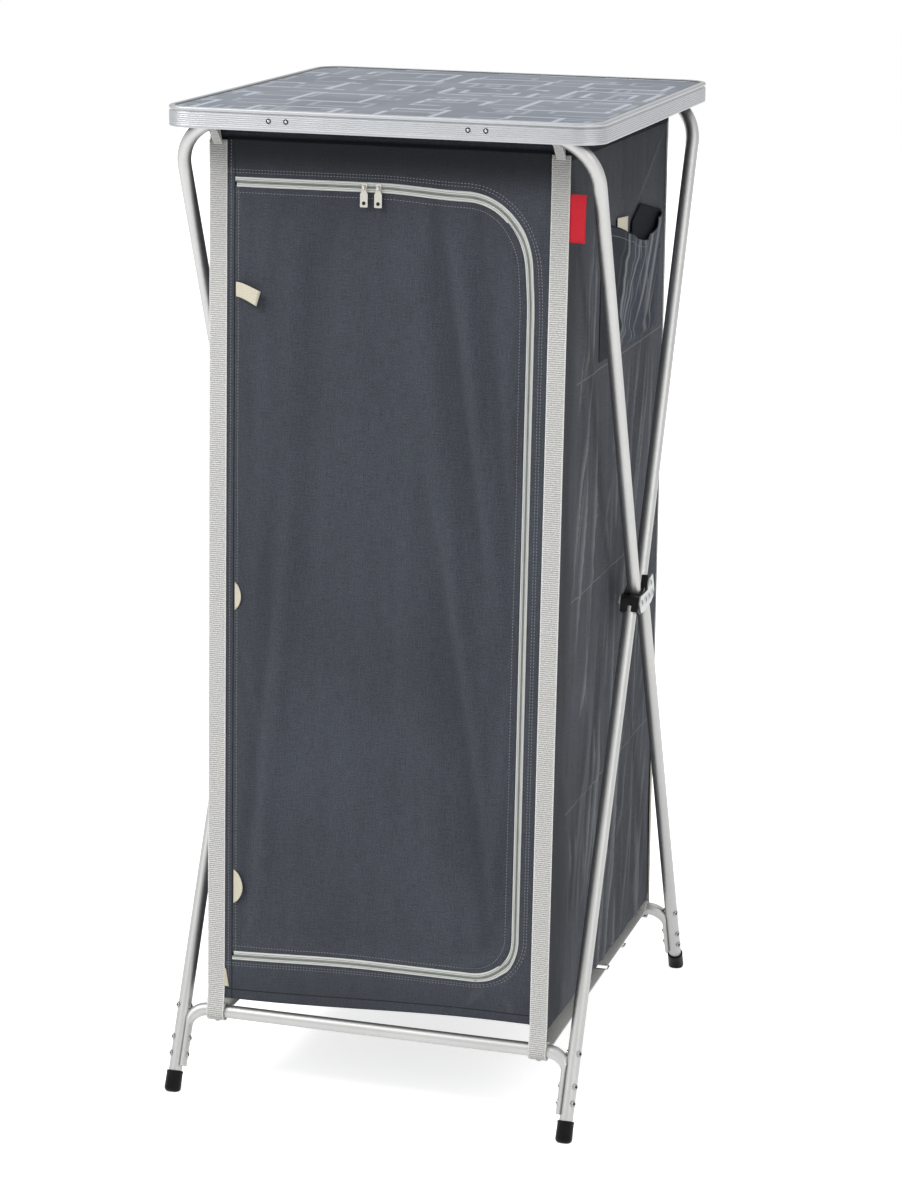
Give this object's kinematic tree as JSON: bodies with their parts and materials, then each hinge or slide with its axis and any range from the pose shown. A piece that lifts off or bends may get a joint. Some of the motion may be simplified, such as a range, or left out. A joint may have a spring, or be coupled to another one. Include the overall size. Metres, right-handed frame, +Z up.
{
  "type": "folding camping cupboard",
  "caption": "Folding camping cupboard: aluminium X-frame with a lift-off worktop, and a zipped cloth cabinet with shelves hung on straps from its top bars.",
  "frame": {"origin": "on the floor under the middle of the cupboard", "axes": "+Z up, -Y towards the door side (front), +X to the right as seen from the front"},
  "size_m": [0.6082, 0.7352, 1.389],
  "materials": {
    "satin_aluminium": "satin",
    "plated_steel": "plated, satin",
    "nickel": "nickel plated, worn satin",
    "grey_laminate": "fine-grained satin laminate",
    "black_plastic": "moulded, matt",
    "grey_canvas": "close weave, matt",
    "grey_webbing": "woven webbing",
    "zip_tape": "coil zip on woven tape",
    "red_tag": "plain woven tag"
  },
  "bodies": {
    "rear_frame": {"upper_rear_frame": "satin_aluminium", "outer_knuckle_plate_left": "plated_steel", "outer_knuckle_plate_right": "plated_steel", "inner_knuckle_plate_left": "plated_steel", "inner_knuckle_plate_right": "plated_steel", "upper_rear_left_fitting": "black_plastic", "upper_rear_right_fitting": "black_plastic", "front_panel": "grey_canvas", "rear_panel": "grey_canvas", "left_panel": "grey_canvas", "right_panel": "grey_canvas", "roof_panel": "grey_canvas", "floor_panel": "grey_canvas", "lower_shelf": "grey_canvas", "middle_shelf": "grey_canvas", "upper_shelf": "grey_canvas", "front_zip_tape": "zip_tape", "side_pocket": "grey_canvas", "side_tag": "red_tag", "front_left_strap": "grey_webbing", "front_right_strap": "grey_webbing", "rear_left_strap": "grey_webbing", "rear_right_strap": "grey_webbing"},
    "worktop": {"worktop_board": "grey_laminate", "worktop_edge": "satin_aluminium", "worktop_front_left_hook": "black_plastic", "worktop_front_right_hook": "black_plastic", "worktop_rear_left_saddle": "black_plastic", "worktop_rear_right_saddle": "black_plastic"},
    "upper_front": {"upper_front_frame": "satin_aluminium", "upper_front_left_fitting": "black_plastic", "upper_front_right_fitting": "black_plastic"},
    "front_legs": {"front_left_leg": "satin_aluminium", "front_left_foot_cap": "black_plastic", "front_left_leg_fitting": "black_plastic", "front_left_base_strap": "grey_webbing", "front_right_leg": "satin_aluminium", "front_right_foot_cap": "black_plastic", "front_right_leg_fitting": "black_plastic", "front_right_base_strap": "grey_webbing", "front_crossbar": "satin_aluminium"},
    "rear_legs": {"rear_left_leg": "satin_aluminium", "rear_left_foot_cap": "black_plastic", "rear_left_leg_fitting": "black_plastic", "rear_left_base_strap": "grey_webbing", "rear_right_leg": "satin_aluminium", "rear_right_foot_cap": "black_plastic", "rear_right_leg_fitting": "black_plastic", "rear_right_base_strap": "grey_webbing", "rear_crossbar": "satin_aluminium", "left_base_strap_hook": "nickel", "left_base_strap_buckle": "nickel", "right_base_strap_hook": "nickel", "right_base_strap_buckle": "nickel"},
    "door": {"door_flap": "grey_canvas", "door_zip_tape": "zip_tape"},
    "left_slider": {"left_zip_slider": "nickel"},
    "right_slider": {"right_zip_slider": "nickel"},
    "left_pull": {"left_zip_pull": "nickel"},
    "right_pull": {"right_zip_pull": "nickel"}
  },
  "joints": [
    {"name": "frame_fold", "type": "hinge", "parent": "rear_frame", "child": "front_legs", "pos_m": [0, -0.0335, 0.687], "axis": [-1, 0, 0], "range_deg": [0, 178.48], "deforming": ["front_panel", "rear_panel", "left_panel", "right_panel", "roof_panel", "floor_panel", "lower_shelf", "middle_shelf", "upper_shelf", "front_zip_tape", "side_pocket", "side_tag", "front_left_strap", "front_right_strap", "rear_left_strap", "rear_right_strap", "door_flap", "door_zip_tape", "left_zip_slider", "right_zip_slider", "left_zip_pull", "right_zip_pull", "front_left_base_strap", "front_right_base_strap", "rear_left_base_strap", "rear_right_base_strap", "left_base_strap_hook", "left_base_strap_buckle", "right_base_strap_hook", "right_base_strap_buckle"]},
    {"name": "rear_leg_fold", "type": "hinge", "parent": "rear_frame", "child": "rear_legs", "pos_m": [0, 0.0335, 0.687], "axis": [1, 0, 0], "range_deg": [0, 131.03]},
    {"name": "upper_front_fold", "type": "hinge", "parent": "rear_frame", "child": "upper_front", "pos_m": [0, -0.0105, 0.687], "axis": [-1, 0, 0], "range_deg": [0, 47.45]},
    {"name": "worktop_lift", "type": "slide", "parent": "rear_frame", "child": "worktop", "axis": [0, 0, 1], "range_m": [0, 0.3]},
    {"name": "door_swing", "type": "hinge", "parent": "rear_frame", "child": "door", "pos_m": [-0.2125, -0.3093, 0.21398], "axis": [0, 0.0212, 0.9998], "range_deg": [-135, 0]},
    {"name": "left_slider_slide", "type": "slide", "parent": "rear_frame", "child": "left_slider", "axis": [1, 0, 0], "range_m": [-0.172, 0]},
    {"name": "right_slider_slide", "type": "slide", "parent": "rear_frame", "child": "right_slider", "axis": [-1, 0, 0], "range_m": [-0.112, 0]},
    {"name": "left_pull_swing", "type": "hinge", "parent": "left_slider", "child": "left_pull", "pos_m": [-0.03085, -0.29107, 1.2881], "axis": [1, 0, 0], "range_deg": [-150, 0]},
    {"name": "right_pull_swing", "type": "hinge", "parent": "right_slider", "child": "right_pull", "pos_m": [-0.01115, -0.29107, 1.2881], "axis": [1, 0, 0], "range_deg": [-150, 0]}
  ],
  "couplings": [
    {"joint": "rear_leg_fold", "follows": "frame_fold", "ratio": 0.73414},
    {"joint": "upper_front_fold", "follows": "frame_fold", "ratio": 0.26585},
    {"joint": "worktop_lift", "follows": "frame_fold", "m_per_rad": 0.096304}
  ]
}
